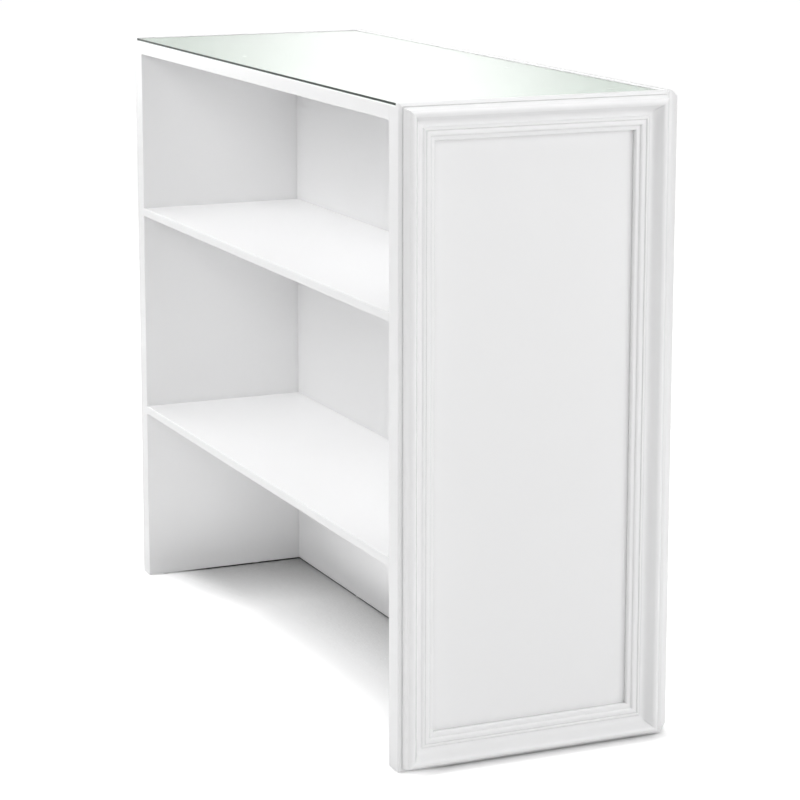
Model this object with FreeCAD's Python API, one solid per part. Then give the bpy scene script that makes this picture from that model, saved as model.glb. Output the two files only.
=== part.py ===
"""Bar counter with two open shelves, built as flat painted boards with mitred mouldings.

Frame: millimetres, +Z up, origin on the floor under the middle of the counter.
+X runs along the counter, -Y is the serving side with the shelves, +Y the customer side.
"""
import FreeCAD
import Part

import math
import os

Vector = FreeCAD.Vector

# ---- whole counter ------------------------------------------------------------------
carcass_length = 1300.0      # over the two end frames, without the mouldings
carcass_depth = 486.0        # serving edge to the customer frame, without the moulding
board_height = 1100.0        # board feet to the top board's upper face
glide_height = 3.0           # lifts every board clear of the floor

# ---- boards -------------------------------------------------------------------------
end_thick = 26.0             # end panel behind the frame strips
frame_thick = 10.0           # strips that carry the mouldings
field_thick = 6.0            # thin panel let in between the strips
top_thick = 24.5
shelf_thick = 16.0
shelf_depth = 332.0
back_thick = 18.0            # wall behind the shelves
front_thick = 18.0           # panel behind the customer frame
rib_thick = 16.0             # uprights inside the hollow
rib_offset = 205.0           # each rib from the middle of the counter
upper_shelf_top = 765.0      # above the board feet
lower_shelf_top = 357.0
upstand = 6.0                # end and customer frames above the top board

# ---- glass top ----------------------------------------------------------------------
pad_thick = 1.0              # clear pads between the glass and the top board
pad_diameter = 12.0
pad_inset = 60.0             # outer pads from the glass edges
pad_columns = 4
pad_rows = 2
glass_thick = 4.0
glass_gap = 0.8              # glass to the frames round it

# ---- moulding section, from the outer edge inwards ----------------------------------
edge_rise = 1.5              # thin outer edge, off the frame face
ramp_run = 5.3
ramp_rise = 2.0
nick_run = 1.3               # fine groove at the foot of the flank
nick_drop = 1.1
nick_wide = 2.0
flank_run = 3.7              # steep outer side
flank_rise = 19.3
flank_bulge = 0.3            # how far the flank stands over its own chord
quirk = 0.6                  # small ledge under the crown
crown_run = 5.2
crown_rise = 3.2
crown_bulge = 0.8
shoulder_radius = 6.0        # from the crest over to the fall
slope_angle = 60.0           # degrees
slope_run = 12.5             # straight part of the fall
cove_radius = 8.5            # out of the fall into the hollow
hollow_wide = 3.4
bead_run = 4.0               # hollow up to the top of the bead
bead_lift = 3.0
bead_bulge = 0.5
bead_back_run = 2.2          # top of the bead down to its groove
bead_back_drop = 2.2
bead_back_bulge = 0.45
groove_run = 1.0
groove_lift = 0.9
band_wide = 4.5              # flat between the groove and the ovolo
ovolo_run = 4.0
ovolo_drop = 3.6
ovolo_bulge = 1.0
step_run = 1.0
step_drop = 0.4
rim_wide = 4.0               # lower flat along the inner edge
inner_radius = 2.8
lip_wide = 14.0              # part that reaches past the strips, down to the field
lip_gap = 0.5                # lip to the strips
plain_edge_rise = 7.5        # outer edge of the mouldings with a plain bevelled side

# ---- screws and glides --------------------------------------------------------------
screw_head_diameter = 10.0
screw_head_thick = 3.5
screw_diameter = 6.4
screw_length = 50.0
screw_edge = 45.0            # outer screws from the edges of a shelf or the top
wall_screw_edge = 90.0       # and from the ends of an upright board
bore_play = 0.3              # all round a screw or a glide peg
glide_diameter = 17.0
glide_peg_diameter = 6.0
glide_peg_length = 12.0
glide_edge = 40.0            # outer glides from the ends of a board
screws_per_shelf = 3
screws_per_wall = 4
glides_per_board = 3

# ---- worked out from the above ------------------------------------------------------
half_length = carcass_length / 2.0
ramp_y = edge_rise + ramp_rise
ledge_y = ramp_y + flank_rise
moulding_rise = ledge_y + crown_rise
serving_y = -(carcass_depth + moulding_rise) / 2.0
customer_y = serving_y + carcass_depth
feet_z = glide_height
top_z = feet_z + board_height
top_under_z = top_z - top_thick
frame_top_z = top_z + upstand
core_face_x = half_length - frame_thick
inner_x = core_face_x - end_thick
front_face_y = customer_y - frame_thick
front_inner_y = front_face_y - front_thick
back_y = serving_y + shelf_depth
hollow_y = back_y + back_thick
glass_z = top_z + pad_thick
field_drop = frame_thick - field_thick
fall_turn = math.radians(slope_angle)
nick_x = ramp_run + nick_run
flank_x = ramp_run + nick_wide
ledge_x = flank_x + flank_run
crown_x = ledge_x + quirk
crest_x = crown_x + crown_run
fall_x = crest_x + shoulder_radius * math.sin(fall_turn)
fall_y = moulding_rise - shoulder_radius * (1.0 - math.cos(fall_turn))
foot_x = fall_x + slope_run * math.cos(fall_turn)
foot_y = fall_y - slope_run * math.sin(fall_turn)
cove_x = foot_x + cove_radius * math.sin(fall_turn)
cove_y = foot_y - cove_radius * (1.0 - math.cos(fall_turn))
bead_x = cove_x + hollow_wide
bead_top_x = bead_x + bead_run
bead_top_y = cove_y + bead_lift
groove_x = bead_top_x + bead_back_run
groove_y = bead_top_y - bead_back_drop
band_x = groove_x + groove_run
band_y = groove_y + groove_lift
ovolo_x = band_x + band_wide
step_x = ovolo_x + ovolo_run
step_y = band_y - ovolo_drop
rim_x = step_x + step_run
rim_y = step_y - step_drop
round_x = rim_x + rim_wide
moulding_wide = round_x + inner_radius
lip_x = moulding_wide - lip_wide
frame_wide = lip_x - lip_gap

pieces = {}


def span(x, y, z):
    """A board from its three spans; each span may be given either way round."""
    low = Vector(min(x), min(y), min(z))
    size = [max(s) - min(s) for s in (x, y, z)]
    return Part.makeBox(size[0], size[1], size[2], low)


def spread(low, high, count):
    """Evenly spaced places from low to high."""
    return [low + (high - low) * i / (count - 1) for i in range(count)]


def rod(diameter, length, base, direction):
    return Part.makeCylinder(diameter / 2.0, length, base, direction)


# ---- mouldings ----------------------------------------------------------------------
def bulged(start, end, rise):
    """The middle of an arc from start to end that stands rise above their chord."""
    chord = end - start
    off = Vector(-chord.y, chord.x, 0).normalize()
    return (start + end) * 0.5 + off * rise


def moulding_section(plain):
    """The section as a face in the XY plane: x inwards, y off the frame face."""

    def at(x, y):
        return Vector(x, y, 0)

    def sagitta(radius, turn):
        return radius * (1.0 - math.cos(turn / 2.0))

    if plain:
        outer_side = [(at(0, plain_edge_rise), 0.0)]
    else:
        outer_side = [
            (at(0, edge_rise), 0.0),
            (at(ramp_run, ramp_y), 0.0),
            (at(nick_x, ramp_y - nick_drop), 0.0),
            (at(flank_x, ramp_y), flank_bulge),
        ]
    quarter = math.pi / 2.0
    outline = [(at(0, 0), 0.0)] + outer_side + [
        (at(ledge_x, ledge_y), 0.0),
        (at(crown_x, ledge_y), crown_bulge),
        (at(crest_x, moulding_rise), sagitta(shoulder_radius, fall_turn)),
        (at(fall_x, fall_y), 0.0),
        (at(foot_x, foot_y), -sagitta(cove_radius, fall_turn)),
        (at(cove_x, cove_y), 0.0),
        (at(bead_x, cove_y), bead_bulge),
        (at(bead_top_x, bead_top_y), bead_back_bulge),
        (at(groove_x, groove_y), 0.0),
        (at(band_x, band_y), 0.0),
        (at(ovolo_x, band_y), ovolo_bulge),
        (at(step_x, step_y), 0.0),
        (at(rim_x, rim_y), 0.0),
        (at(round_x, rim_y), sagitta(inner_radius, quarter)),
        (at(moulding_wide, rim_y - inner_radius), 0.0),
        (at(moulding_wide, -field_drop), 0.0),
        (at(lip_x, -field_drop), 0.0),
        (at(lip_x, 0), 0.0),
    ]
    edges = []
    for i, (start, rise) in enumerate(outline):
        end = outline[(i + 1) % len(outline)][0]
        if rise:
            edges.append(Part.Arc(start, bulged(start, end, rise), end).toShape())
        else:
            edges.append(Part.makeLine(start, end))
    return Part.Face(Part.Wire(edges))


def mitred_bar(length, plain):
    """A moulding along +Z from z=0, outer edge on x=0, both ends mitred inwards."""
    bar = moulding_section(plain).extrude(Vector(0, 0, length))
    margin = moulding_rise
    reach = moulding_wide + margin
    low = -field_drop - margin
    tall = moulding_rise + margin - low
    wedges = []
    for edge_z, sign in ((0.0, 1.0), (length, -1.0)):
        corners = [
            Vector(-margin, low, edge_z - sign * margin),
            Vector(reach, low, edge_z + sign * reach),
            Vector(reach, low, edge_z - sign * margin),
        ]
        outline = Part.makePolygon(corners + corners[:1])
        wedges.append(Part.Face(outline).extrude(Vector(0, tall, 0)))
    return bar.cut(wedges).Solids[0]


def set_bar(bar, length, inward, outward, start, along):
    """A mitred bar laid from start; it is symmetric, so it may be laid from either end."""
    inward = Vector(*inward)
    outward = Vector(*outward)
    along = Vector(*along)
    start = Vector(*start)
    if inward.cross(outward).dot(along) < 0:
        start = start + along * length
        along = along * -1.0
    place = FreeCAD.Matrix(
        inward.x, outward.x, along.x, start.x,
        inward.y, outward.y, along.y, start.y,
        inward.z, outward.z, along.z, start.z,
        0, 0, 0, 1,
    )
    bar.Placement = FreeCAD.Placement(place)
    return bar


def framed_face(prefix, run, strips_stop, laid, plain):
    """Strips, field and four mouldings of one framed face.

    run is the (low, high) span of the mouldings, strips_stop where the strips end;
    laid(run, depth, z) turns a run span, a depth span off the panel and a height span
    into the counter's own three spans; plain mouldings have a bevelled outer side.
    """
    deep = (0.0, frame_thick)
    field_deep = (0.0, field_thick)
    inner = (run[0] + frame_wide, run[1] - frame_wide)
    tall = (feet_z, frame_top_z)
    field_tall = (feet_z + frame_wide, frame_top_z - frame_wide)
    board = {
        "strip_first": ((run[0], inner[0]), deep, tall),
        "strip_last": ((inner[1], strips_stop), deep, tall),
        "strip_top": (inner, deep, (field_tall[1], tall[1])),
        "strip_bottom": (inner, deep, (tall[0], field_tall[0])),
        "field": (inner, field_deep, field_tall),
    }
    for name, spans in board.items():
        pieces[f"{prefix}_{name}"] = [span(*laid(*spans))]
    ahead = laid((0, 1), (0, 0), (0, 0))
    along = [s[1] - s[0] for s in ahead]
    off = laid((0, 0), (0, 1), (0, 0))
    outward = [s[1] - s[0] for s in off]
    back = [-a for a in along]

    def corner(run_at, z_at):
        return [s[0] for s in laid((run_at, run_at), (frame_thick, frame_thick), (z_at, z_at))]

    high = tall[1] - tall[0]
    wide = run[1] - run[0]
    bars = {
        "moulding_first": (high, along, corner(run[0], tall[0]), (0, 0, 1)),
        "moulding_last": (high, back, corner(run[1], tall[0]), (0, 0, 1)),
        "moulding_top": (wide, (0, 0, -1), corner(run[0], tall[1]), along),
        "moulding_bottom": (wide, (0, 0, 1), corner(run[0], tall[0]), along),
    }
    for name, (length, inward, start, direction) in bars.items():
        bar = mitred_bar(length, plain)
        pieces[f"{prefix}_{name}"] = [set_bar(bar, length, inward, outward, start, direction)]


# ---- ends ---------------------------------------------------------------------------
for side, sign in (("left", -1.0), ("right", 1.0)):
    panel_x = (sign * inner_x, sign * core_face_x)
    panel = span(panel_x, (serving_y, front_face_y), (feet_z, top_z))
    pieces[f"end_panel_{side}"] = [panel]

    def laid_end(run, depth, z, sign=sign):
        return tuple(sign * (core_face_x + d) for d in depth), run, z

    framed_face(f"end_{side}", (serving_y, customer_y), front_face_y, laid_end, False)


# ---- customer side ------------------------------------------------------------------
def laid_customer(run, depth, z):
    return run, tuple(front_face_y + d for d in depth), z


framed_face("customer", (-half_length, half_length), half_length, laid_customer, True)

# ---- boards between the ends --------------------------------------------------------
between = (-inner_x, inner_x)
under_top = (feet_z, top_under_z)
pieces["customer_panel"] = [span(between, (front_inner_y, front_face_y), under_top)]
pieces["top_board"] = [span(between, (serving_y, front_face_y), (top_under_z, top_z))]
pieces["shelf_wall"] = [span(between, (back_y, hollow_y), under_top)]
shelf_tops = {"upper_shelf": upper_shelf_top, "lower_shelf": lower_shelf_top}
for name, height in shelf_tops.items():
    level = feet_z + height
    pieces[name] = [span(between, (serving_y, back_y), (level - shelf_thick, level))]
for side, middle in (("left", -rib_offset), ("right", rib_offset)):
    rib_x = (middle - rib_thick / 2.0, middle + rib_thick / 2.0)
    pieces[f"hollow_rib_{side}"] = [span(rib_x, (hollow_y, front_inner_y), under_top)]

# ---- glass top on its pads ----------------------------------------------------------
glass_x = core_face_x - glass_gap
glass_y = (serving_y, front_face_y - glass_gap)
pieces["glass_top"] = [span((-glass_x, glass_x), glass_y, (glass_z, glass_z + glass_thick))]
pads = []
for x in spread(-glass_x + pad_inset, glass_x - pad_inset, pad_columns):
    for y in spread(glass_y[0] + pad_inset, glass_y[1] - pad_inset, pad_rows):
        pads.append(rod(pad_diameter, pad_thick, Vector(x, y, top_z), Vector(0, 0, 1)))
pieces["glass_pads"] = pads

# ---- screws through the end panels into every board between them ---------------------
joints = []
for y in spread(serving_y + screw_edge, front_face_y - screw_edge, screws_per_shelf):
    joints.append((y, top_z - top_thick / 2.0))
for height in shelf_tops.values():
    for y in spread(serving_y + screw_edge, back_y - screw_edge, screws_per_shelf):
        joints.append((y, feet_z + height - shelf_thick / 2.0))
for y in (back_y + back_thick / 2.0, front_inner_y + front_thick / 2.0):
    for z in spread(feet_z + wall_screw_edge, top_under_z - wall_screw_edge, screws_per_wall):
        joints.append((y, z))

screws = []
screw_bores = []
for sign in (-1.0, 1.0):
    inwards = Vector(-sign, 0, 0)
    for y, z in joints:
        face = Vector(sign * core_face_x, y, z)
        head = rod(screw_head_diameter, screw_head_thick, face, inwards)
        shank = rod(screw_diameter, screw_length, face, inwards)
        screws.append(head.fuse(shank).Solids[0])
        wide = rod(screw_head_diameter + 2.0 * bore_play, screw_head_thick, face, inwards)
        deep = rod(screw_diameter + 2.0 * bore_play, screw_length + bore_play, face, inwards)
        screw_bores.append(wide.fuse(deep))
pieces["assembly_screws"] = screws

# ---- glides pegged into the boards' feet --------------------------------------------
stands = []
for sign in (-1.0, 1.0):
    middle = sign * (inner_x + core_face_x) / 2.0
    for y in spread(serving_y + glide_edge, front_face_y - glide_edge, glides_per_board):
        stands.append((middle, y))
for y in (back_y + back_thick / 2.0, front_inner_y + front_thick / 2.0):
    for x in spread(-inner_x / 2.0, inner_x / 2.0, glides_per_board):
        stands.append((x, y))

glides = []
peg_bores = []
for x, y in stands:
    disc = rod(glide_diameter, glide_height, Vector(x, y, 0), Vector(0, 0, 1))
    peg = rod(glide_peg_diameter, glide_height + glide_peg_length, Vector(x, y, 0), Vector(0, 0, 1))
    glides.append(disc.fuse(peg).Solids[0])
    bore_size = glide_peg_diameter + 2.0 * bore_play
    bore_deep = glide_peg_length + bore_play
    peg_bores.append(rod(bore_size, bore_deep, Vector(x, y, feet_z), Vector(0, 0, 1)))
pieces["glides"] = glides

bored = ["end_panel_left", "end_panel_right", "customer_panel", "shelf_wall", "top_board"]
bored += list(shelf_tops)
for name in bored:
    board = pieces[name][0]
    near = [c for c in screw_bores + peg_bores if board.BoundBox.intersect(c.BoundBox)]
    pieces[name] = [board.cut(near).Solids[0]]

# ---- one file for each named piece --------------------------------------------------
os.makedirs("parts", exist_ok=True)
for name, solids in pieces.items():
    shape = solids[0] if len(solids) == 1 else Part.makeCompound(solids)
    shape.exportStep(os.path.join("parts", name + ".step"))
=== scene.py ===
import math

import bmesh
import bpy
from mathutils import Matrix, Vector


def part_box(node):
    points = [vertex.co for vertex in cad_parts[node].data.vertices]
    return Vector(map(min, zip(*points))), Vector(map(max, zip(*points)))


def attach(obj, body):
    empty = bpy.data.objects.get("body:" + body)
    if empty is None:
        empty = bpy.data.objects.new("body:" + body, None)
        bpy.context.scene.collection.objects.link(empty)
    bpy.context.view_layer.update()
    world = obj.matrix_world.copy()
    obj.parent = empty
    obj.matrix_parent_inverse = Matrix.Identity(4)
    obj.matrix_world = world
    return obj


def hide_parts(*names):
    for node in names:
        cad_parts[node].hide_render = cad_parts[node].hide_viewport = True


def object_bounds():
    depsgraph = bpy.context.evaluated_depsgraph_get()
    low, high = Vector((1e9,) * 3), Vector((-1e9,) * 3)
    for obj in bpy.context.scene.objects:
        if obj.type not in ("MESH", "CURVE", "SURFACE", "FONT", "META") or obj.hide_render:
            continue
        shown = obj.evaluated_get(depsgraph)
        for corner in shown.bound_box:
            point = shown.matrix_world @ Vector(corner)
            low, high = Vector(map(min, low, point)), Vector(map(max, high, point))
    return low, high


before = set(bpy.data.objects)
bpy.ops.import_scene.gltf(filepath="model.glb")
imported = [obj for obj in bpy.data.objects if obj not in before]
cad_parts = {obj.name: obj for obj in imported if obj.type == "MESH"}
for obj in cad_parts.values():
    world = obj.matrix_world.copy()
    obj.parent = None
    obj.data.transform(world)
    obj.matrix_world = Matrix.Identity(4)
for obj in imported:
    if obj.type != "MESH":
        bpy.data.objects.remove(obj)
cadBox = [list(corner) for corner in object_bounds()]
scene = bpy.context.scene
print("frame loaded with", len(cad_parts), "nodes")


# helpers for node trees
def addNode(tree, kind, inputs=None, **settings):
    node = tree.nodes.new(kind)
    for name, value in settings.items():
        setattr(node, name, value)
    for key, value in (inputs or {}).items():
        if isinstance(value, bpy.types.NodeSocket):
            tree.links.new(value, node.inputs[key])
        else:
            node.inputs[key].default_value = value
    return node


def maths(tree, operation, first, second=0.0, clamp=False):
    node = addNode(tree, "ShaderNodeMath", {0: first, 1: second}, operation=operation, use_clamp=clamp)
    return node.outputs[0]


def newGroup(name, kind, inputs, outputs):
    tree = bpy.data.node_groups.new(name, kind)
    for direction, sockets in (("INPUT", inputs), ("OUTPUT", outputs)):
        for label, socketType in sockets:
            tree.interface.new_socket(label, in_out=direction, socket_type="NodeSocket" + socketType)
    start = tree.nodes.new("NodeGroupInput")
    end = tree.nodes.new("NodeGroupOutput")
    return tree, start.outputs, end.inputs


def noiseValue(tree, place, scale, detail=3.0, roughness=0.5):
    inputs = {"Vector": place, "Scale": scale, "Detail": detail, "Roughness": roughness}
    return addNode(tree, "ShaderNodeTexNoise", inputs).outputs[0]


def between(tree, value, low, high):
    inputs = {"Value": value, "To Min": low, "To Max": high}
    return addNode(tree, "ShaderNodeMapRange", inputs).outputs[0]


def mixColours(tree, share, first, second):
    node = addNode(tree, "ShaderNodeMix", {0: share, 6: first, 7: second}, data_type="RGBA")
    return node.outputs[2]


def openShare(tree, reach, samples):
    node = addNode(tree, "ShaderNodeAmbientOcclusion", {"Distance": reach}, samples=samples)
    return node.outputs["AO"]


# shader groups that several finishes share
film = {"sagShare": 0.13, "sagHeight": 0.4, "peelHeight": 0.6}
edges = {"gain": 6.0, "samples": 4}
creviceShading = {"least": 0.7, "most": 1.3, "samples": 6}
fineDetail = 4.0


def paintFilmGroup():
    tree, start, end = newGroup(
        "paintFilm", "ShaderNodeTree",
        [("Place", "Vector"), ("Peel Scale", "Float"), ("Cloud Scale", "Float")],
        [("Height", "Float"), ("Cloud", "Float"), ("Sheen", "Float")])
    peel = noiseValue(tree, start["Place"], start["Peel Scale"], detail=2.0)
    sagScale = maths(tree, "MULTIPLY", start["Peel Scale"], film["sagShare"])
    sag = noiseValue(tree, start["Place"], sagScale, detail=1.0)
    height = maths(tree, "ADD", maths(tree, "MULTIPLY", peel, film["peelHeight"]),
                   maths(tree, "MULTIPLY", sag, film["sagHeight"]))
    tree.links.new(height, end["Height"])
    tree.links.new(noiseValue(tree, start["Place"], start["Cloud Scale"], fineDetail), end["Cloud"])
    tree.links.new(sag, end["Sheen"])
    return tree


# mask along turned edges, used for grey wear on the boards and for a painted highlight on the mouldings
def edgeWearAndHighlightGroup():
    tree, start, end = newGroup(
        "edgeWearAndHighlight", "ShaderNodeTree",
        [("Place", "Vector"), ("Radius", "Float"), ("Breakup Scale", "Float")],
        [("Mask", "Float")])
    rounded = addNode(tree, "ShaderNodeBevel", {"Radius": start["Radius"]}, samples=edges["samples"])
    geometry = addNode(tree, "ShaderNodeNewGeometry")
    inputs = {0: rounded.outputs[0], 1: geometry.outputs["Normal"]}
    aligned = addNode(tree, "ShaderNodeVectorMath", inputs, operation="DOT_PRODUCT").outputs["Value"]
    turned = maths(tree, "SUBTRACT", 1.0, aligned, True)
    breakup = noiseValue(tree, start["Place"], start["Breakup Scale"], fineDetail)
    wearAndHighlightMask = maths(tree, "MULTIPLY", maths(tree, "MULTIPLY", turned, edges["gain"]), breakup, True)
    tree.links.new(wearAndHighlightMask, end["Mask"])
    return tree


# painted shade: the colour is darkened in creases and corners that ambient occlusion finds closed in
def creviceShadeGroup():
    tree, start, end = newGroup(
        "paintedCreviceShade", "ShaderNodeTree",
        [("Reach", "Float"), ("Place", "Vector"), ("Breakup Scale", "Float")],
        [("Mask", "Float")])
    clearness = openShare(tree, start["Reach"], creviceShading["samples"])
    closed = maths(tree, "SUBTRACT", 1.0, clearness, True)
    breakup = noiseValue(tree, start["Place"], start["Breakup Scale"], fineDetail)
    patchy = between(tree, breakup, creviceShading["least"], creviceShading["most"])
    tree.links.new(maths(tree, "MULTIPLY", closed, patchy, True), end["Mask"])
    return tree


paintFilm = paintFilmGroup()
edgeWearAndHighlight = edgeWearAndHighlightGroup()
paintedCreviceShade = creviceShadeGroup()


# finishes
def newMaterial(name):
    material = bpy.data.materials.new(name)
    material.use_nodes = True
    tree = material.node_tree
    tree.nodes.clear()
    output = tree.nodes.new("ShaderNodeOutputMaterial")
    shader = tree.nodes.new("ShaderNodeBsdfPrincipled")
    tree.links.new(shader.outputs[0], output.inputs["Surface"])
    place = addNode(tree, "ShaderNodeTexCoord").outputs["Object"]
    return material, tree, shader, place


def addBump(tree, shader, look, height):
    bump = addNode(tree, "ShaderNodeBump", {
        "Strength": look["bumpStrength"], "Distance": look["bumpDepth"], "Height": height})
    tree.links.new(bump.outputs[0], shader.inputs["Normal"])


def dressShader(tree, shader, look, tone, gloss, height):
    tree.links.new(mixColours(tree, tone, look["colour"], look["toneColour"]), shader.inputs["Base Color"])
    tree.links.new(between(tree, gloss, look["glossy"], look["dull"]), shader.inputs["Roughness"])
    addBump(tree, shader, look, height)


def satinPaint(name, look):
    material, tree, shader, place = newMaterial(name)
    coat = addNode(tree, "ShaderNodeGroup", {
        "Place": place, "Peel Scale": look["peelScale"], "Cloud Scale": look["cloudScale"]},
        node_tree=paintFilm).outputs
    # edge colour: grey wear on the boards, a near-white painted highlight on the mouldings
    wearAndHighlight = addNode(tree, "ShaderNodeGroup", {
        "Place": place, "Radius": look["wearRadius"], "Breakup Scale": look["wearScale"]},
        node_tree=edgeWearAndHighlight).outputs
    # painted shade in creases and corners
    creviceShade = addNode(tree, "ShaderNodeGroup", {
        "Place": place, "Reach": look["creviceShadeReach"], "Breakup Scale": look["wearScale"]},
        node_tree=paintedCreviceShade).outputs
    colour = mixColours(tree, coat["Cloud"], look["colour"], look["cloudColour"])
    wearAndHighlightMask = maths(tree, "MULTIPLY", wearAndHighlight["Mask"], look["wearAndHighlightShare"])
    colour = mixColours(tree, wearAndHighlightMask, colour, look["wearAndHighlightColour"])
    creviceShadeAmount = maths(tree, "MULTIPLY", creviceShade["Mask"], look["creviceShadeShare"])
    colour = mixColours(tree, creviceShadeAmount, colour, look["creviceShadeColour"])
    tree.links.new(colour, shader.inputs["Base Color"])
    gloss = between(tree, coat["Sheen"], look["glossy"], look["dull"])
    dulled = maths(tree, "MULTIPLY", wearAndHighlightMask, look["wearDulling"])
    tree.links.new(maths(tree, "ADD", gloss, dulled), shader.inputs["Roughness"])
    addBump(tree, shader, look, coat["Height"])
    return material


# the crevice colour of both finishes is painted shade, darker and stronger in the moulding grooves
boardPaint = {
    "colour": (0.91, 0.91, 0.912, 1), "cloudColour": (0.895, 0.895, 0.9, 1),
    "wearAndHighlightColour": (0.72, 0.72, 0.71, 1), "wearAndHighlightShare": 0.18, "wearRadius": 0.0012, "wearScale": 160.0,
    "wearDulling": 0.1,
    "creviceShadeColour": (0.6, 0.6, 0.6, 1), "creviceShadeShare": 0.25, "creviceShadeReach": 0.012,
    "peelScale": 650.0, "cloudScale": 2.4, "glossy": 0.36, "dull": 0.46,
    "bumpStrength": 0.25, "bumpDepth": 0.0003,
}
# on the mouldings the edge colour is a near-white painted highlight along the arrises; on the boards it is
# grey wear
mouldingPaint = dict(boardPaint, peelScale=520.0, glossy=0.15, dull=0.21, creviceShadeReach=0.003, creviceShadeShare=0.75,
                     creviceShadeColour=(0.42, 0.42, 0.42, 1), wearAndHighlightColour=(0.98, 0.98, 0.98, 1), wearAndHighlightShare=0.7,
                     bumpStrength=0.1, bumpDepth=0.0001)


def bareFibreboard():
    look = {
        "colour": (0.52, 0.38, 0.25, 1), "toneColour": (0.36, 0.25, 0.16, 1), "fibreScale": 900.0,
        "cloudScale": 12.0, "glossy": 0.75, "dull": 0.95, "bumpStrength": 0.4, "bumpDepth": 0.0002,
    }
    material, tree, shader, place = newMaterial("bareFibreboard")
    fibre = noiseValue(tree, place, look["fibreScale"], detail=5.0, roughness=0.7)
    cloud = noiseValue(tree, place, look["cloudScale"])
    dressShader(tree, shader, look, maths(tree, "MULTIPLY", fibre, cloud), fibre, fibre)
    return material


def throughForLamps(tree, shader, tint):
    path = addNode(tree, "ShaderNodeLightPath")
    clear = addNode(tree, "ShaderNodeBsdfTransparent", {"Color": tint})
    inputs = {0: path.outputs["Is Shadow Ray"], 1: shader.outputs[0], 2: clear.outputs[0]}
    mixed = addNode(tree, "ShaderNodeMixShader", inputs)
    output = next(node for node in tree.nodes if node.type == "OUTPUT_MATERIAL")
    tree.links.new(mixed.outputs[0], output.inputs["Surface"])


def floatGlass():
    look = {
        "tint": (0.9, 0.945, 0.9, 1), "lampTint": (0.93, 0.97, 0.95, 1), "ior": 1.52, "smearScale": 6.0,
        "glossy": 0.0, "dull": 0.03, "waveScale": 3.0, "bumpStrength": 0.2, "bumpDepth": 0.00002,
    }
    material, tree, shader, place = newMaterial("floatGlass")
    shader.inputs["Base Color"].default_value = look["tint"]
    shader.inputs["IOR"].default_value = look["ior"]
    shader.inputs["Transmission Weight"].default_value = 1.0
    smear = noiseValue(tree, place, look["smearScale"], detail=5.0, roughness=0.6)
    tree.links.new(between(tree, smear, look["glossy"], look["dull"]), shader.inputs["Roughness"])
    addBump(tree, shader, look, noiseValue(tree, place, look["waveScale"], detail=1.0))
    throughForLamps(tree, shader, look["lampTint"])
    return material


# painted shade: the edge faces get a near-black colour standing for the dark look of the glass edge and the
# shadowed gap beneath it
def glassEdgePaintedShade():
    look = {
        "colour": (0.008, 0.014, 0.011, 1), "toneColour": (0.016, 0.024, 0.02, 1), "bandScale": 9.0,
        "grindScale": 240.0, "shine": 0.12, "glossy": 0.4, "dull": 0.6,
        "bumpStrength": 0.15, "bumpDepth": 0.0001,
    }
    material, tree, shader, place = newMaterial("glassEdgePaintedShade")
    grind = noiseValue(tree, place, look["grindScale"], fineDetail)
    band = noiseValue(tree, place, look["bandScale"], detail=2.0)
    shader.inputs["Specular IOR Level"].default_value = look["shine"]
    dressShader(tree, shader, look, band, grind, grind)
    return material


def clearBumper():
    look = {
        "colour": (0.93, 0.94, 0.93, 1), "toneColour": (0.88, 0.9, 0.88, 1), "ior": 1.41,
        "lampTint": (0.9, 0.92, 0.9, 1), "hazeScale": 420.0, "glossy": 0.2, "dull": 0.35,
        "bumpStrength": 0.2, "bumpDepth": 0.0001,
    }
    material, tree, shader, place = newMaterial("clearBumper")
    shader.inputs["IOR"].default_value = look["ior"]
    shader.inputs["Transmission Weight"].default_value = 1.0
    haze = noiseValue(tree, place, look["hazeScale"])
    dressShader(tree, shader, look, haze, haze, haze)
    throughForLamps(tree, shader, look["lampTint"])
    return material


def zincPlate():
    look = {
        "colour": (0.62, 0.61, 0.55, 1), "toneColour": (0.5, 0.5, 0.46, 1), "spangleScale": 700.0,
        "scuffScale": 300.0, "glossy": 0.25, "dull": 0.5, "bumpStrength": 0.2, "bumpDepth": 0.0001,
    }
    material, tree, shader, place = newMaterial("zincPlate")
    spangle = addNode(tree, "ShaderNodeTexVoronoi", {"Vector": place, "Scale": look["spangleScale"]})
    scuff = noiseValue(tree, place, look["scuffScale"], detail=5.0, roughness=0.7)
    shader.inputs["Metallic"].default_value = 1.0
    dressShader(tree, shader, look, spangle.outputs["Distance"], scuff, scuff)
    return material


def mouldedPlastic():
    look = {
        "colour": (0.72, 0.72, 0.7, 1), "toneColour": (0.6, 0.6, 0.58, 1), "grainScale": 1500.0,
        "scuffScale": 220.0, "glossy": 0.4, "dull": 0.65, "bumpStrength": 0.3, "bumpDepth": 0.0001,
    }
    material, tree, shader, place = newMaterial("mouldedPlastic")
    grain = noiseValue(tree, place, look["grainScale"])
    scuff = noiseValue(tree, place, look["scuffScale"], detail=5.0, roughness=0.7)
    dressShader(tree, shader, look, scuff, scuff, grain)
    return material


paintedBoard = satinPaint("paintedBoard", boardPaint)
paintedMoulding = satinPaint("paintedMoulding", mouldingPaint)
bareBoard = bareFibreboard()
glassFace = floatGlass()
glassEdgeShade = glassEdgePaintedShade()
bumper = clearBumper()
zinc = zincPlate()
glidePlastic = mouldedPlastic()
print("finishes ready")


# pieces in general
counterBody = "counter"
glassBody = "glass"
xAxis, yAxis, zAxis = range(3)
weldGap = 0.00001  # points nearer than this are one point


def addPiece(mesh, name, body, nodes, materials):
    piece = bpy.data.objects.new(name, mesh)
    scene.collection.objects.link(piece)
    mesh.materials.clear()
    for material in materials:
        mesh.materials.append(material)
    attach(piece, body)
    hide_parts(*nodes)
    return piece


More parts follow.
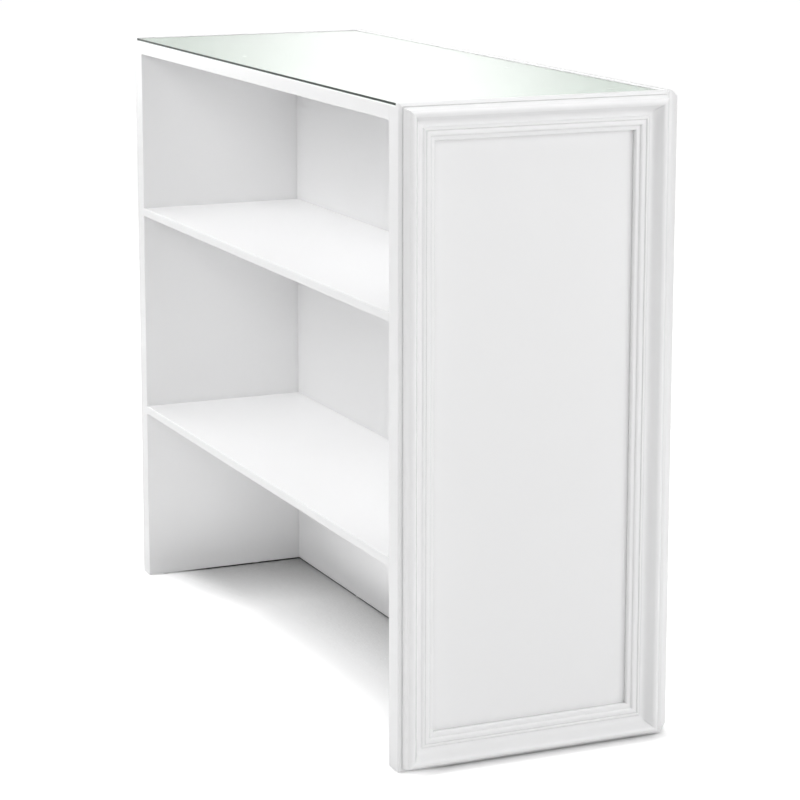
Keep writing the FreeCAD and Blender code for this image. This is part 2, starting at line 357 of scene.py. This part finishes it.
def meshFrom(bm, name):
    bmesh.ops.recalc_face_normals(bm, faces=bm.faces[:])
    mesh = bpy.data.meshes.new(name)
    bm.to_mesh(mesh)
    bm.free()
    return mesh


def facedOutwards(mesh, name):
    bm = bmesh.new()
    bm.from_mesh(mesh)
    return meshFrom(bm, name)


def evaluated(piece):
    depsgraph = bpy.context.evaluated_depsgraph_get()
    return bpy.data.meshes.new_from_object(piece.evaluated_get(depsgraph), depsgraph=depsgraph)


def corners(nodes):
    boxes = [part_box(node) for node in nodes]
    low = Vector([round(min(box[0][i] for box in boxes), 6) for i in range(3)])
    high = Vector([round(max(box[1][i] for box in boxes), 6) for i in range(3)])
    return low, high


def block(name, low, high):
    bm = bmesh.new()
    size = Matrix.Diagonal((*(high - low), 1.0))
    bmesh.ops.create_cube(bm, size=1.0, matrix=Matrix.Translation((low + high) / 2) @ size)
    return meshFrom(bm, name)


# boards
boardSizes = {"arris": 0.0009, "arrisSegments": 3, "flatAngle": 0.01, "recessReach": 0.1}


def cutBy(piece, operation, mesh):
    tool = bpy.data.objects.new("tool", mesh)
    scene.collection.objects.link(tool)
    modifier = piece.modifiers.new("cut", "BOOLEAN")
    modifier.operation = operation
    modifier.solver = "EXACT"
    modifier.object = tool
    piece.data = evaluated(piece)
    piece.modifiers.remove(modifier)
    bpy.data.objects.remove(tool)


def joinedBoards(name, first, second, recess):
    piece = bpy.data.objects.new(name, block(name, *first))
    scene.collection.objects.link(piece)
    cutBy(piece, "UNION", block(name + "Second", *second))
    cutBy(piece, "DIFFERENCE", block(name + "Recess", *recess))
    mesh = piece.data
    bpy.data.objects.remove(piece)
    return mesh


# arrises that butt against another board stay square
def easeArrises(piece, butts):
    bm = bmesh.new()
    bm.from_mesh(piece.data)
    bmesh.ops.remove_doubles(bm, verts=bm.verts[:], dist=weldGap)
    bmesh.ops.dissolve_limit(bm, angle_limit=boardSizes["flatAngle"], verts=bm.verts[:], edges=bm.edges[:])
    bmesh.ops.recalc_face_normals(bm, faces=bm.faces[:])
    weight = bm.edges.layers.float.new("bevel_weight_edge")
    for edge in bm.edges:
        butted = any(all(abs(vertex.co[axis] - value) < weldGap for vertex in edge.verts)
                     for axis, value in butts)
        edge[weight] = 0.0 if butted else 1.0
        edge.smooth = not butted
    bm.to_mesh(piece.data)
    bm.free()
    bevel = piece.modifiers.new("arris", "BEVEL")
    bevel.limit_method = "WEIGHT"
    bevel.width = boardSizes["arris"]
    bevel.segments = boardSizes["arrisSegments"]
    bevel.harden_normals = True
    piece.data.shade_smooth()


strips = ("strip_first", "strip_last", "strip_top", "strip_bottom")


def endBoard(side):
    panel = "end_panel_" + side
    stripNodes = ["end_%s_%s" % (side, strip) for strip in strips]
    recessLow, recessHigh = corners(["end_%s_field" % side])
    plate = corners(stripNodes)
    core = corners([panel])
    if side == "right":
        recessLow.x = core[1].x
        recessHigh.x = plate[1].x + boardSizes["recessReach"]
    else:
        recessLow.x = plate[0].x - boardSizes["recessReach"]
        recessHigh.x = core[0].x
    mesh = joinedBoards("endBoard", core, plate, (recessLow, recessHigh))
    piece = addPiece(mesh, "endBoard_" + side, counterBody,
                     [panel] + stripNodes, [paintedBoard])
    easeArrises(piece, [(yAxis, plate[1].y)])


def customerBoard():
    stripNodes = ["customer_" + strip for strip in strips]
    recessLow, recessHigh = corners(["customer_field"])
    plate = corners(stripNodes)
    core = corners(["customer_panel"])
    recessLow.y = core[1].y
    recessHigh.y = plate[1].y + boardSizes["recessReach"]
    mesh = joinedBoards("customerBoard", core, plate, (recessLow, recessHigh))
    piece = addPiece(mesh, "customerBoard", counterBody,
                     ["customer_panel"] + stripNodes, [paintedBoard])
    easeArrises(piece, [])


def plainBoard(node, name, lowButts=(), highButts=()):
    low, high = corners([node])
    piece = addPiece(block(name, low, high), name, counterBody, [node], [paintedBoard])
    easeArrises(piece, [(axis, low[axis]) for axis in lowButts] + [(axis, high[axis]) for axis in highButts])


endBoard("right")
endBoard("left")
customerBoard()
for node, name in (("top_board", "topBoard"), ("upper_shelf", "upperShelf"), ("lower_shelf", "lowerShelf")):
    plainBoard(node, name, [xAxis], [xAxis, yAxis])
plainBoard("shelf_wall", "shelfWall", [xAxis], [xAxis, zAxis])
for node, name in (("end_right_field", "endField_right"), ("end_left_field", "endField_left"),
                   ("customer_field", "customerField")):
    plainBoard(node, name)
print("boards ready")

# mouldings: section points run from the outer edge inwards, x in from the edge, y off the frame face
section = {
    "edgeRise": 0.0015, "rampRun": 0.0053, "rampRise": 0.002, "nickRun": 0.0013, "nickDrop": 0.0011,
    "nickWide": 0.002, "flankRun": 0.0037, "flankRise": 0.0193, "flankBulge": 0.0003, "quirk": 0.0006,
    "crownRun": 0.0052, "crownRise": 0.0032, "crownBulge": 0.0008, "shoulderRadius": 0.006,
    "slopeAngle": 60.0, "slopeRun": 0.0125, "coveRadius": 0.0085, "hollowWide": 0.0034,
    "beadRun": 0.004, "beadLift": 0.003, "beadBulge": 0.0005, "beadBackRun": 0.0022,
    "beadBackDrop": 0.0022, "beadBackBulge": 0.00045, "grooveRun": 0.001, "grooveLift": 0.0009,
    "bandWide": 0.0045, "ovoloRun": 0.004, "ovoloDrop": 0.0036, "ovoloBulge": 0.001,
    "stepRun": 0.001, "stepDrop": 0.0004, "rimWide": 0.004, "innerRadius": 0.0028,
    "lipWide": 0.014, "fieldDrop": 0.004, "plainEdgeRise": 0.0075,
}
bar = {"edgeRadius": 0.0004, "edgePoints": 2, "smoothAngle": 0.6, "arcStep": 0.2, "leastSteps": 2,
       "weld": 0.000001}


# an arc from the last point, which bends to the left of its course where the bulge is above zero
def arcTo(points, end, bulge):
    start = points[-1]
    chord = end - start
    half = chord.length / 2
    radius = (half * half + bulge * bulge) / (2 * abs(bulge))
    turn = 2 * math.asin(min(1.0, half / radius))
    side = 1.0 if bulge > 0 else -1.0
    off = Vector((-chord.y, chord.x)).normalized() * side
    centre = (start + end) / 2 + off * (abs(bulge) - radius)
    count = max(bar["leastSteps"], round(turn / bar["arcStep"]))
    for i in range(1, count + 1):
        angle = -side * turn * i / count
        arm = start - centre
        points.append(centre + Vector((arm.x * math.cos(angle) - arm.y * math.sin(angle),
                                       arm.x * math.sin(angle) + arm.y * math.cos(angle))))


def sagitta(radius, turn):
    return radius * (1.0 - math.cos(turn / 2))


def sectionPoints(plain):
    fall = math.radians(section["slopeAngle"])
    ledge = Vector((section["rampRun"] + section["nickWide"] + section["flankRun"],
                    section["edgeRise"] + section["rampRise"] + section["flankRise"]))
    points = [Vector((0, 0))]

    def onward(run, rise, bulge=0.0):
        end = points[-1] + Vector((run, rise))
        if bulge:
            arcTo(points, end, bulge)
        else:
            points.append(end)

    if plain:
        onward(0, section["plainEdgeRise"])
        onward(ledge.x, ledge.y - section["plainEdgeRise"])
    else:
        onward(0, section["edgeRise"])
        onward(section["rampRun"], section["rampRise"])
        onward(section["nickRun"], -section["nickDrop"])
        onward(section["nickWide"] - section["nickRun"], section["nickDrop"])
        onward(section["flankRun"], section["flankRise"], section["flankBulge"])
    onward(section["quirk"], 0)
    onward(section["crownRun"], section["crownRise"], section["crownBulge"])
    onward(section["shoulderRadius"] * math.sin(fall), -section["shoulderRadius"] * (1 - math.cos(fall)),
           sagitta(section["shoulderRadius"], fall))
    onward(section["slopeRun"] * math.cos(fall), -section["slopeRun"] * math.sin(fall))
    onward(section["coveRadius"] * math.sin(fall), -section["coveRadius"] * (1 - math.cos(fall)),
           -sagitta(section["coveRadius"], fall))
    onward(section["hollowWide"], 0)
    onward(section["beadRun"], section["beadLift"], section["beadBulge"])
    onward(section["beadBackRun"], -section["beadBackDrop"], section["beadBackBulge"])
    onward(section["grooveRun"], section["grooveLift"])
    onward(section["bandWide"], 0)
    onward(section["ovoloRun"], -section["ovoloDrop"], section["ovoloBulge"])
    onward(section["stepRun"], -section["stepDrop"])
    onward(section["rimWide"], 0)
    onward(section["innerRadius"], -section["innerRadius"], sagitta(section["innerRadius"], math.pi / 2))
    inner = points[-1].x
    points.append(Vector((inner, -section["fieldDrop"])))
    points.append(Vector((inner - section["lipWide"], -section["fieldDrop"])))
    points.append(Vector((inner - section["lipWide"], 0)))
    return points


# the section is drawn out to the length, and each point then moves by its distance in, for the mitres
def mitredBarTree():
    tree, start, end = newGroup(
        "mitredBar", "GeometryNodeTree",
        [("Geometry", "Geometry"), ("Length", "Float"), ("Edge Radius", "Float"), ("Edge Points", "Int"),
         ("Smooth Angle", "Float"), ("Material", "Material")],
        [("Geometry", "Geometry")])
    outline = addNode(tree, "GeometryNodeMeshToCurve", {0: start["Geometry"]})
    eased = addNode(tree, "GeometryNodeFilletCurve", {
        "Curve": outline.outputs[0], "Count": start["Edge Points"], "Radius": start["Edge Radius"],
        "Limit Radius": True}, mode="POLY")
    face = addNode(tree, "GeometryNodeFillCurve", {0: eased.outputs[0]}, mode="NGONS")
    reach = addNode(tree, "ShaderNodeCombineXYZ", {"Z": start["Length"]})
    drawn = addNode(tree, "GeometryNodeExtrudeMesh", {
        "Mesh": face.outputs[0], "Offset": reach.outputs[0], "Individual": False}, mode="FACES")
    back = addNode(tree, "GeometryNodeFlipFaces", {0: face.outputs[0]})
    joined = addNode(tree, "GeometryNodeJoinGeometry")
    tree.links.new(drawn.outputs["Mesh"], joined.inputs[0])
    tree.links.new(back.outputs[0], joined.inputs[0])
    merged = addNode(tree, "GeometryNodeMergeByDistance", {0: joined.outputs[0], "Distance": bar["weld"]})
    spot = addNode(tree, "ShaderNodeSeparateXYZ", {0: addNode(tree, "GeometryNodeInputPosition").outputs[0]})
    share = maths(tree, "DIVIDE", spot.outputs["Z"], start["Length"])
    lean = maths(tree, "SUBTRACT", 1.0, maths(tree, "MULTIPLY", share, 2.0))
    shift = addNode(tree, "ShaderNodeCombineXYZ", {"Z": maths(tree, "MULTIPLY", spot.outputs["X"], lean)})
    mitred = addNode(tree, "GeometryNodeSetPosition", {
        "Geometry": merged.outputs[0], "Offset": shift.outputs[0]})
    smooth = addNode(tree, "GeometryNodeSetShadeSmooth", {"Geometry": mitred.outputs[0]}, domain="FACE")
    angle = addNode(tree, "GeometryNodeInputMeshEdgeAngle")
    sharp = maths(tree, "GREATER_THAN", angle.outputs["Unsigned Angle"], start["Smooth Angle"])
    crisp = addNode(tree, "GeometryNodeSetShadeSmooth", {
        "Geometry": smooth.outputs[0], "Selection": sharp, "Shade Smooth": False}, domain="EDGE")
    painted = addNode(tree, "GeometryNodeSetMaterial", {
        "Geometry": crisp.outputs[0], "Material": start["Material"]})
    tree.links.new(painted.outputs[0], end["Geometry"])
    return tree


def throughNodes(mesh, tree, values):
    carrier = bpy.data.objects.new("carrier", mesh)
    scene.collection.objects.link(carrier)
    modifier = carrier.modifiers.new("rule", "NODES")
    modifier.node_group = tree
    for item in tree.interface.items_tree:
        if item.in_out == "INPUT" and item.name in values:
            modifier[item.identifier] = values[item.name]
    result = evaluated(carrier)
    carrier.modifiers.remove(modifier)
    bpy.data.objects.remove(carrier)
    return result


def outlineMesh(plain):
    points = sectionPoints(plain)
    mesh = bpy.data.meshes.new("section")
    count = len(points)
    mesh.from_pydata([(*point, 0.0) for point in points], [(i, (i + 1) % count) for i in range(count)], [])
    return mesh


def mouldingBar(node, name, plain, start, inward, outward, length):
    mesh = throughNodes(outlineMesh(plain), barTree, {
        "Length": length, "Edge Radius": bar["edgeRadius"], "Edge Points": bar["edgePoints"],
        "Smooth Angle": bar["smoothAngle"], "Material": paintedMoulding})
    along = inward.cross(outward)
    turn = Matrix((inward, outward, along)).transposed().to_4x4()
    mesh.transform(Matrix.Translation(start) @ turn)
    addPiece(facedOutwards(mesh, name), name, counterBody, [node], [paintedMoulding])


def pictureFrame(prefix, name, plain, low, high, outward):
    up = Vector((0, 0, 1))
    across = Vector([abs(part) for part in up.cross(outward)])
    span = abs((high - low).dot(across))
    rise = high.z - low.z
    middle = (low + high) / 2
    face = middle + outward * abs((high - low).dot(outward)) / 2
    for label, inward in (("first", across), ("last", -across), ("bottom", up), ("top", -up)):
        length = rise if label in ("first", "last") else span
        width = span if label in ("first", "last") else rise
        along = inward.cross(outward)
        start = face - inward * width / 2 - along * length / 2
        mouldingBar("%s_moulding_%s" % (prefix, label), "%sMoulding_%s" % (name, label), plain,
                    start, inward, outward, length)


barTree = mitredBarTree()
customerFace = corners(["customer_" + strip for strip in strips])
for side, sign in (("right", 1.0), ("left", -1.0)):
    low, high = corners(["end_%s_%s" % (side, strip) for strip in strips])
    high.y = customerFace[1].y  # the end frames also cover the edge of the customer board
    pictureFrame("end_" + side, side + "End", False, low, high, Vector((sign, 0, 0)))
pictureFrame("customer", "customer", True, *customerFace, Vector((0, 1, 0)))
print("mouldings ready")

# glass top
glassSizes = {"arris": 0.0003, "segments": 2, "roundness": 0.5, "flat": 0.95}


def glassTop():
    low, high = corners(["glass_top"])
    bm = bmesh.new()
    bm.from_mesh(block("glass", low, high))
    bmesh.ops.bevel(bm, geom=bm.edges[:], offset=glassSizes["arris"], segments=glassSizes["segments"],
                    profile=glassSizes["roundness"], affect="EDGES")
    piece = addPiece(meshFrom(bm, "glassTop"), "glassTop", glassBody, ["glass_top"],
                     [glassFace, glassEdgeShade])
    # the near-black edge colour is painted shade
    for polygon in piece.data.polygons:  # the broad faces are clear and the edges dark
        polygon.material_index = 0 if abs(polygon.normal.z) > glassSizes["flat"] else 1


glassTop()


# pads and glides: one domed disc on each foot of the CAD node, and a peg where it is pushed in
padSizes = {"Radius": 0.006, "Height": 0.001, "Rounding": 0.12, "Has Peg": False}
glideSizes = {"Radius": 0.0085, "Height": 0.003, "Rounding": 0.1, "Has Peg": True,
              "Peg Radius": 0.003, "Peg Length": 0.012}
turning = {"sides": 40, "rings": 10, "pegSides": 20, "domePower": 4.0}


def buttonTree():
    tree, start, end = newGroup(
        "turnedButtons", "GeometryNodeTree",
        [("Geometry", "Geometry"), ("Radius", "Float"), ("Height", "Float"), ("Rounding", "Float"),
         ("Has Peg", "Bool"), ("Peg Radius", "Float"), ("Peg Length", "Float"), ("Material", "Material")],
        [("Geometry", "Geometry")])
    disc = addNode(tree, "GeometryNodeMeshCylinder", {
        "Vertices": turning["sides"], "Side Segments": turning["rings"], "Radius": start["Radius"],
        "Depth": start["Height"]})
    spot = addNode(tree, "ShaderNodeSeparateXYZ", {0: addNode(tree, "GeometryNodeInputPosition").outputs[0]})
    level = maths(tree, "DIVIDE", maths(tree, "MULTIPLY", spot.outputs["Z"], 2.0), start["Height"])
    dome = maths(tree, "POWER", maths(tree, "ABSOLUTE", level), turning["domePower"])
    curl = maths(tree, "MULTIPLY", dome, start["Rounding"])
    keep = maths(tree, "SUBTRACT", 1.0, curl)
    shaped = addNode(tree, "ShaderNodeCombineXYZ", {
        "X": maths(tree, "MULTIPLY", spot.outputs["X"], keep),
        "Y": maths(tree, "MULTIPLY", spot.outputs["Y"], keep),
        "Z": maths(tree, "ADD", spot.outputs["Z"], maths(tree, "MULTIPLY", start["Height"], 0.5))})
    button = addNode(tree, "GeometryNodeSetPosition", {
        "Geometry": disc.outputs[0], "Position": shaped.outputs[0]})
    peg = addNode(tree, "GeometryNodeMeshCylinder", {
        "Vertices": turning["pegSides"], "Radius": start["Peg Radius"], "Depth": start["Peg Length"]})
    lift = maths(tree, "ADD", start["Height"], maths(tree, "MULTIPLY", start["Peg Length"], 0.5))
    raised = addNode(tree, "GeometryNodeTransform", {
        "Geometry": peg.outputs[0],
        "Translation": addNode(tree, "ShaderNodeCombineXYZ", {"Z": lift}).outputs[0]})
    pegged = addNode(tree, "GeometryNodeSwitch", {"Switch": start["Has Peg"], "True": raised.outputs[0]},
                     input_type="GEOMETRY")
    joined = addNode(tree, "GeometryNodeJoinGeometry")
    tree.links.new(button.outputs[0], joined.inputs[0])
    tree.links.new(pegged.outputs[0], joined.inputs[0])
    spread = addNode(tree, "GeometryNodeInstanceOnPoints", {
        "Points": start["Geometry"], "Instance": joined.outputs[0]})
    whole = addNode(tree, "GeometryNodeRealizeInstances", {0: spread.outputs[0]})
    painted = addNode(tree, "GeometryNodeSetMaterial", {
        "Geometry": whole.outputs[0], "Material": start["Material"]})
    tree.links.new(painted.outputs[0], end["Geometry"])
    return tree


# where each separate solid of a node stands
def solidFeet(node):
    bm = bmesh.new()
    bm.from_mesh(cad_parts[node].data)
    bmesh.ops.remove_doubles(bm, verts=bm.verts[:], dist=weldGap)
    left = set(bm.verts)
    feet = []
    while left:
        island, edgeOfSearch = set(), [next(iter(left))]
        while edgeOfSearch:
            vertex = edgeOfSearch.pop()
            if vertex in island:
                continue
            island.add(vertex)
            edgeOfSearch += [edge.other_vert(vertex) for edge in vertex.link_edges]
        left -= island
        low, high = [Vector([pick(vertex.co[axis] for vertex in island) for axis in range(3)])
                     for pick in (min, max)]
        feet.append(Vector(((low.x + high.x) / 2, (low.y + high.y) / 2, low.z)))
    bm.free()
    return sorted(feet, key=lambda foot: (round(foot.x, 4), round(foot.y, 4)))


def buttons(node, name, material, sizes):
    mesh = bpy.data.meshes.new(name)
    mesh.from_pydata(solidFeet(node), [], [])
    made = throughNodes(mesh, buttonsTree, dict(sizes, Material=material))
    addPiece(facedOutwards(made, name), name, counterBody, [node], [material])


buttonsTree = buttonTree()
buttons("glass_pads", "glassPads", bumper, padSizes)
buttons("glides", "floorGlides", glidePlastic, glideSizes)
for node, material in (("assembly_screws", zinc), ("hollow_rib_left", bareBoard),
                       ("hollow_rib_right", bareBoard)):
    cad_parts[node].data.materials.clear()
    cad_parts[node].data.materials.append(material)
print("glass, pads and glides ready")

# studio
studio = {
    "floorHalf": 40.0, "floorColour": (0.86, 0.86, 0.86, 1), "nearGlow": 0.45, "farGlow": 1.0,
    "shadeReach": 0.3, "shadeSamples": 8, "shadePower": 4.0, "dimPower": 0.75, "tightStart": -0.06,
    "tightEnd": 0.08, "dimEnd": -0.02, "wideStart": -0.14, "wideEnd": 0.08, "worldStrength": 0.0,
    "cardTurn": 1.153, "cardMiddle": -0.003, "cardStart": 0.012, "cardFull": 0.085, "cardEnd": 0.25,
    "cardGone": 0.4, "cardColour": (0.55, 0.575, 0.555, 1), "lampAim": (0, 0, 0.6),
}
lamps = {
    "overhead": {"at": (0, 0, 4.6), "size": (4, 4), "power": 106.0},
    "leftHigh": {"at": (-3.4, 0.6, 3.4), "size": (2.4, 2.4), "power": 29.8},
    "endHigh": {"at": (3.2, 0.6, 3.8), "size": (2.6, 2.6), "power": 25.6},
    "leftLow": {"at": (-4.6, -1.1, 1.6), "size": (2, 2), "power": 80.3},
    "front": {"at": (0, -3.8, 3), "size": (2, 2), "power": 60.0},
    "cornerHigh": {"at": (4.2, -2.6, 3), "size": (2, 2), "power": 46.5},
    "endRear": {"at": (4.6, 1.6, 1.4), "size": (2, 2), "power": 30.0},
    "rearSide": {"at": (3.6, 3.4, 2.2), "size": (2.6, 2.6), "power": 50.5},
    # the last three light the bays from inside
    "upperBay": {"at": (0, -0.1, 1.073), "aim": (0, -0.1, 0), "size": (1.18, 0.26), "power": 0.52,
                 "spread": 1.6},
    "middleBay": {"at": (0, -0.1, 0.747), "aim": (0, -0.1, 0), "size": (1.18, 0.26), "power": 0.51,
                  "spread": 1.6},
    "lowerBayUp": {"at": (0, -0.12, 0.03), "aim": (0, -0.12, 2), "size": (0.9, 0.2), "power": 0.75},
}


def seenDirectly(tree, path):
    seen = maths(tree, "ADD", path.outputs["Is Camera Ray"], path.outputs["Is Glossy Ray"], True)
    return maths(tree, "ADD", seen, path.outputs["Is Transmission Ray"], True)


def fade(tree, value, start, end, low=0.0, high=1.0):
    inputs = {"Value": value, "From Min": start, "From Max": end, "To Min": low, "To Max": high}
    return addNode(tree, "ShaderNodeMapRange", inputs, interpolation_type="SMOOTHSTEP").outputs[0]


# the glow grows to full white past the counter's edges; beneath it an occlusion mask paints shadow, darkening
# the glow and dimming the floor's colour, so the light from the lamps is dimmed there too
def floorMaterial():
    material = bpy.data.materials.new("studioFloor")
    material.use_nodes = True
    tree = material.node_tree
    tree.nodes.clear()
    spot = addNode(tree, "ShaderNodeSeparateXYZ", {0: addNode(tree, "ShaderNodeTexCoord").outputs["Object"]})
    pastEnd = maths(tree, "SUBTRACT", maths(tree, "ABSOLUTE", spot.outputs["X"]), cadBox[1][0])
    pastCustomer = maths(tree, "SUBTRACT", spot.outputs["Y"], cadBox[1][1])
    pastServing = maths(tree, "SUBTRACT", cadBox[0][1], spot.outputs["Y"])
    past = maths(tree, "MAXIMUM", pastEnd, pastCustomer)
    served = fade(tree, pastServing, studio["wideStart"], studio["wideEnd"])
    outside = maths(tree, "MAXIMUM", fade(tree, past, studio["tightStart"], studio["tightEnd"]), served)
    undimmed = maths(tree, "MAXIMUM", fade(tree, past, studio["tightStart"], studio["dimEnd"]), served)
    # painted shadow: occlusion darkens the glow and the floor colour beneath and beside the counter
    clearness = openShare(tree, studio["shadeReach"], studio["shadeSamples"])
    paintedShadowGlow = maths(tree, "MULTIPLY", maths(tree, "POWER", clearness, studio["shadePower"]),
                    studio["nearGlow"])
    brightness = between(tree, outside, paintedShadowGlow, studio["farGlow"])
    paintedShadowDimming = between(tree, undimmed, maths(tree, "POWER", clearness, studio["dimPower"]), 1.0)
    matte = addNode(tree, "ShaderNodeBsdfDiffuse", {
        "Color": mixColours(tree, paintedShadowDimming, (0, 0, 0, 1), studio["floorColour"])})
    seen = seenDirectly(tree, addNode(tree, "ShaderNodeLightPath"))
    glow = addNode(tree, "ShaderNodeEmission", {"Strength": maths(tree, "MULTIPLY", seen, brightness)})
    both = addNode(tree, "ShaderNodeAddShader", {0: matte.outputs[0], 1: glow.outputs[0]})
    addNode(tree, "ShaderNodeOutputMaterial", {"Surface": both.outputs[0]})
    return material


def studioFloor():
    bm = bmesh.new()
    bmesh.ops.create_grid(bm, x_segments=1, y_segments=1, size=studio["floorHalf"])
    floor = bpy.data.objects.new("floor", meshFrom(bm, "floor"))
    scene.collection.objects.link(floor)
    floor.data.materials.append(floorMaterial())


# white all round, with two soft grey cards that only reflections show
def studioWorld():
    world = bpy.data.worlds.new("studio")
    scene.world = world
    world.use_nodes = True
    tree = world.node_tree
    tree.nodes.clear()
    turn = studio["cardTurn"]
    facing = addNode(tree, "ShaderNodeTexCoord").outputs["Generated"]
    across = addNode(tree, "ShaderNodeVectorMath", {0: facing, 1: (math.cos(turn), math.sin(turn), 0)},
                     operation="DOT_PRODUCT").outputs["Value"]
    aside = maths(tree, "ABSOLUTE", maths(tree, "SUBTRACT", across, studio["cardMiddle"]))
    card = maths(tree, "MULTIPLY", fade(tree, aside, studio["cardStart"], studio["cardFull"]),
                 fade(tree, aside, studio["cardEnd"], studio["cardGone"], 1.0, 0.0))
    path = addNode(tree, "ShaderNodeLightPath")
    reflected = maths(tree, "MULTIPLY", card, path.outputs["Is Glossy Ray"])
    colour = mixColours(tree, reflected, (1, 1, 1, 1), studio["cardColour"])
    strength = between(tree, seenDirectly(tree, path), studio["worldStrength"], 1.0)
    background = addNode(tree, "ShaderNodeBackground", {"Color": colour, "Strength": strength})
    addNode(tree, "ShaderNodeOutputWorld", {"Surface": background.outputs[0]})


def softLamp(name, lamp):
    data = bpy.data.lights.new(name, "AREA")
    data.spread = lamp.get("spread", math.pi)
    data.shape = "RECTANGLE"
    data.size, data.size_y = lamp["size"]
    data.energy = lamp["power"]
    light = bpy.data.objects.new(name, data)
    light.location = lamp["at"]
    ray = Vector(lamp.get("aim", studio["lampAim"])) - Vector(lamp["at"])
    light.rotation_euler = ray.to_track_quat("-Z", "Y").to_euler()
    scene.collection.objects.link(light)
    light.visible_camera = False


viewpoint = {
    "at": (4.5373, -1.9772, 1.5803), "turn": 1.1532, "dip": 0.1805, "roll": 0.001,
    "lens": 122.14, "sensor": 36.0, "rise": -0.133,
}


def studioCamera():
    data = bpy.data.cameras.new("camera")
    data.sensor_width = viewpoint["sensor"]
    data.lens = viewpoint["lens"]
    data.shift_y = viewpoint["rise"]
    camera = bpy.data.objects.new("camera", data)
    camera.location = viewpoint["at"]
    aim = Matrix.Rotation(viewpoint["turn"], 4, "Z") @ Matrix.Rotation(math.pi / 2 - viewpoint["dip"], 4, "X")
    camera.rotation_euler = (aim @ Matrix.Rotation(viewpoint["roll"], 4, "Z")).to_euler()
    scene.collection.objects.link(camera)
    scene.camera = camera


studioFloor()
studioWorld()
for name, lamp in lamps.items():
    softLamp(name, lamp)
studioCamera()
scene.view_settings.view_transform = "Standard"
print("studio ready")
